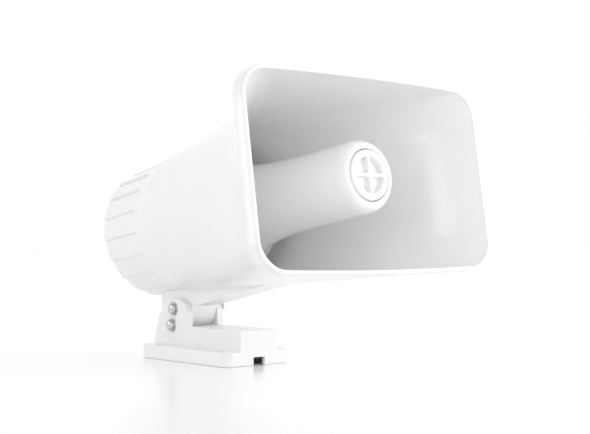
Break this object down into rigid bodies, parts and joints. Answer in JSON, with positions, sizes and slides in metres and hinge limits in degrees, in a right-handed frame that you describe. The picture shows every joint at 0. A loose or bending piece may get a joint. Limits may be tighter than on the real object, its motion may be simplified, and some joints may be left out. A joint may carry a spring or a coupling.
{
  "type": "outdoor horn loudspeaker",
  "caption": "White re-entrant horn loudspeaker with a wide rectangular mouth, a bullet reflector inside and a fluted driver body, tilting on a screw-clamped base.",
  "frame": {"origin": "centre of the base's flat mounting face", "axes": "+Z out of the mounting face towards the horn, -Y the way the mouth faces, +X to the right of someone who looks into the mouth"},
  "size_m": [0.2032, 0.2513, 0.189],
  "materials": {
    "white_abs": "glossy moulded ABS",
    "stainless_steel": "bright stainless screws",
    "black_rubber": "matt seal",
    "black_nylon": "satin moulded nylon",
    "zinc_plated_steel": "dull zinc plate",
    "ferrite": "matt sintered ferrite",
    "phenolic_film": "pressed phenolic film",
    "copper_winding": "enamelled winding",
    "brass": "plain brass",
    "lead_insulation": "satin insulation"
  },
  "bodies": {
    "base": {"base_housing": "white_abs", "pivot_screw": "stainless_steel", "pivot_washer_head": "stainless_steel", "pivot_washer_nut": "stainless_steel", "pivot_nut": "stainless_steel", "lock_screw": "stainless_steel", "lock_washer_head": "stainless_steel", "lock_washer_nut": "stainless_steel", "lock_nut": "stainless_steel"},
    "horn": {"bell": "white_abs", "tilt_foot": "white_abs", "foot_screw_1": "stainless_steel", "foot_screw_2": "stainless_steel", "rear_gasket": "black_rubber", "rear_cover": "white_abs", "rear_cover_screw_1": "stainless_steel", "rear_cover_screw_2": "stainless_steel", "rear_cover_screw_3": "stainless_steel", "rear_cover_screw_4": "stainless_steel", "throat_tube": "white_abs", "reflector": "white_abs", "reflector_screw": "stainless_steel", "nose_plug": "white_abs", "driver_gasket": "black_rubber", "driver_frame": "black_nylon", "driver_screw_1": "stainless_steel", "driver_screw_2": "stainless_steel", "driver_screw_3": "stainless_steel", "diaphragm_clamp": "black_nylon", "top_plate": "zinc_plated_steel", "magnet": "ferrite", "yoke": "zinc_plated_steel", "terminal_block": "black_nylon", "terminal_screw_1": "brass", "terminal_screw_2": "brass", "solder_tag_1": "brass", "solder_tag_2": "brass", "voice_lead_1": "lead_insulation", "voice_lead_2": "lead_insulation"},
    "diaphragm": {"diaphragm": "phenolic_film", "voice_coil": "copper_winding"}
  },
  "joints": [
    {"name": "tilt", "type": "hinge", "parent": "base", "child": "horn", "pos_m": [0, 0.027, 0.0358], "axis": [-1, 0, 0], "range_deg": [-18, 30]},
    {"name": "diaphragm_travel", "type": "slide", "parent": "horn", "child": "diaphragm", "axis": [0, -0.9882, 0.153], "range_m": [-0.0004, 0.0004], "stiffness_N_per_m": 2000}
  ]
}
